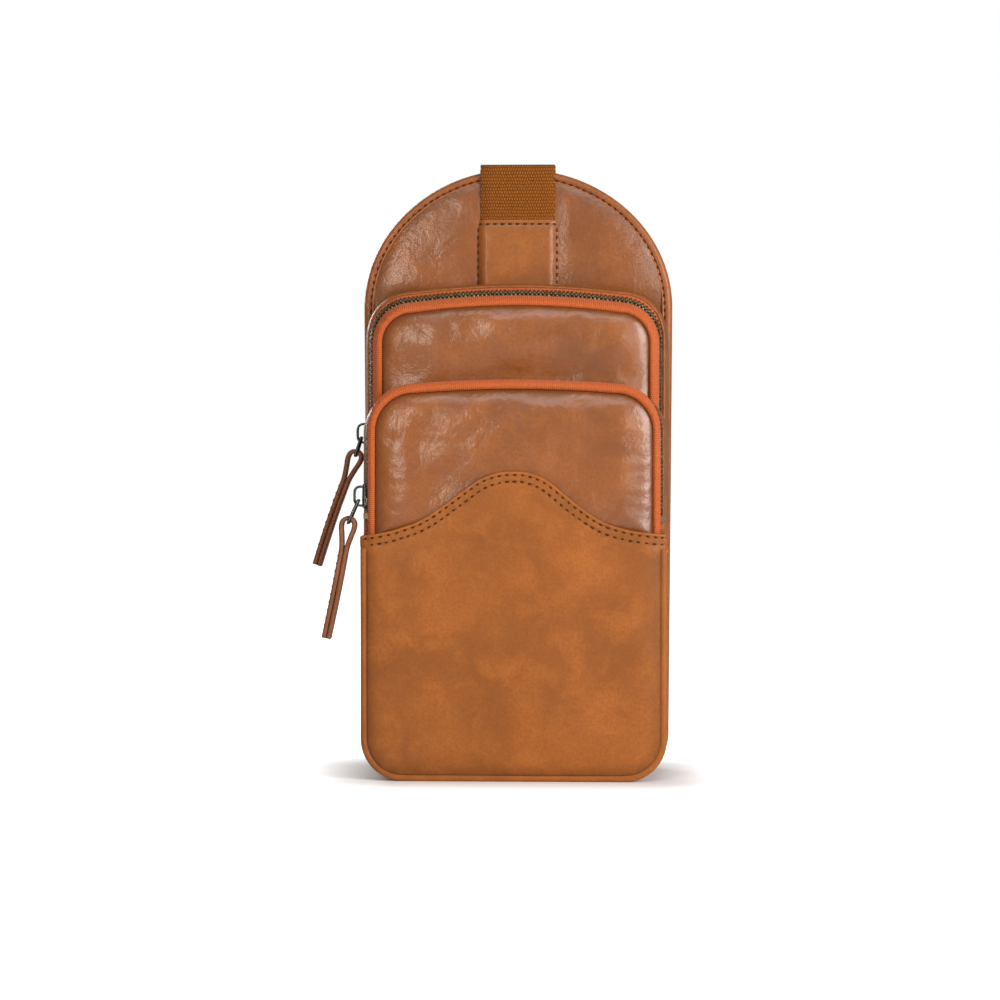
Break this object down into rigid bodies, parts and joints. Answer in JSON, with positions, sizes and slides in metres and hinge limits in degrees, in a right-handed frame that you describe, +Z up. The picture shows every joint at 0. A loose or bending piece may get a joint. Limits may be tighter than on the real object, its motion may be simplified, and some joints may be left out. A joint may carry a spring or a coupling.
{
  "type": "leather sling bag",
  "caption": "Arch-topped leather sling bag: padded back, zipped main compartment, zipped front pocket, leather zip pulls and an adjustable webbing shoulder strap.",
  "frame": {"origin": "middle of the flat base, under the main compartment, level with the surface the bag stands on", "axes": "+X to the right seen from the front, +Y from the front towards the back panel, +Z up along the back panel to the strap"},
  "size_m": [0.1816, 0.1823, 0.3091],
  "materials": {
    "smooth_leather": "glazed tan leather",
    "waxed_leather": "waxed tan leather",
    "zip_cloth": "woven zip tape",
    "brass_teeth": "antique brass teeth",
    "gunmetal": "polished gunmetal plate",
    "webbing": "woven webbing",
    "lining": "twill lining",
    "foam": "padding foam",
    "board": "stiffening board"
  },
  "bodies": {
    "bag": {"back_panel_rear_skin": "waxed_leather", "back_panel_foam": "foam", "back_panel_front_skin": "smooth_leather", "back_edge_binding": "waxed_leather", "main_gusset_lower": "waxed_leather", "main_gusset_upper": "waxed_leather", "main_back_lining": "lining", "inner_slip_pocket": "lining", "base_board": "board", "divider_lower": "waxed_leather", "main_zip_tape_rear": "zip_cloth", "main_zip_teeth_rear": "brass_teeth", "main_zip_top_stop_rear": "gunmetal", "main_zip_bottom_stop": "gunmetal", "front_gusset_lower": "waxed_leather", "front_piping": "waxed_leather", "front_panel_lower": "waxed_leather", "strap_webbing": "webbing", "strap_patch": "smooth_leather", "ring_tab": "smooth_leather"},
    "main_flap": {"main_panel_upper": "smooth_leather", "main_flap_lining": "lining", "main_zip_tape_front": "zip_cloth", "main_zip_teeth_front": "brass_teeth", "main_zip_top_stop_front": "gunmetal", "front_gusset_upper": "waxed_leather", "front_fold_leather": "waxed_leather", "pocket_zip_tape_rear": "zip_cloth", "pocket_zip_teeth_rear": "brass_teeth", "pocket_zip_top_stop_rear": "gunmetal", "pocket_zip_bottom_stop": "gunmetal"},
    "pocket_flap": {"front_panel_upper": "smooth_leather", "front_flap_lining": "lining", "front_panel_crest": "waxed_leather", "pocket_zip_tape_front": "zip_cloth", "pocket_zip_teeth_front": "brass_teeth", "pocket_zip_top_stop_front": "gunmetal"},
    "main_slider": {"main_slider": "gunmetal"},
    "main_link": {"main_pull_link": "gunmetal"},
    "main_pull": {"main_pull_tab": "waxed_leather"},
    "pocket_slider": {"pocket_slider": "gunmetal"},
    "pocket_link": {"pocket_pull_link": "gunmetal"},
    "pocket_pull": {"pocket_pull_tab": "waxed_leather"},
    "strap_adjuster": {"strap_adjuster": "gunmetal", "strap_over_bar": "webbing"},
    "strap_ring": {"strap_ring": "gunmetal"}
  },
  "joints": [
    {"name": "main_flap_fold", "type": "hinge", "parent": "bag", "child": "main_flap", "pos_m": [0, -0.032, 0.113], "axis": [1, 0, 0], "range_deg": [0, 28]},
    {"name": "pocket_flap_fold", "type": "hinge", "parent": "main_flap", "child": "pocket_flap", "pos_m": [0, -0.032, 0.125], "axis": [1, 0, 0], "range_deg": [0, 28]},
    {"name": "main_slider_run", "type": "slide", "parent": "bag", "child": "main_slider", "axis": [0, 0, 1], "range_m": [0, 0.038]},
    {"name": "main_link_swing", "type": "hinge", "parent": "main_slider", "child": "main_link", "pos_m": [-0.0778, -0.0009, 0.16975], "axis": [0, 1, 0], "range_deg": [-6, 60]},
    {"name": "main_pull_swing", "type": "hinge", "parent": "main_link", "child": "main_pull", "pos_m": [-0.08074, -0.0009, 0.16071], "axis": [0, 1, 0], "range_deg": [-12, 90]},
    {"name": "pocket_slider_run", "type": "slide", "parent": "main_flap", "child": "pocket_slider", "axis": [0, 0, 1], "range_m": [0, 0.025]},
    {"name": "pocket_link_swing", "type": "hinge", "parent": "pocket_slider", "child": "pocket_link", "pos_m": [-0.0773, -0.0246, 0.13875], "axis": [0, 1, 0], "range_deg": [-6, 60]},
    {"name": "pocket_pull_swing", "type": "hinge", "parent": "pocket_link", "child": "pocket_pull", "pos_m": [-0.08218, -0.0246, 0.12779], "axis": [0, 1, 0], "range_deg": [-4, 90]},
    {"name": "strap_adjuster_run", "type": "slide", "parent": "bag", "child": "strap_adjuster", "axis": [0, 0, 1], "range_m": [-0.06, 0]},
    {"name": "strap_ring_swing", "type": "hinge", "parent": "bag", "child": "strap_ring", "pos_m": [0, 0.0446, 0.0086], "axis": [1, 0, 0], "range_deg": [0, 35], "deforming": ["strap_webbing"]}
  ]
}
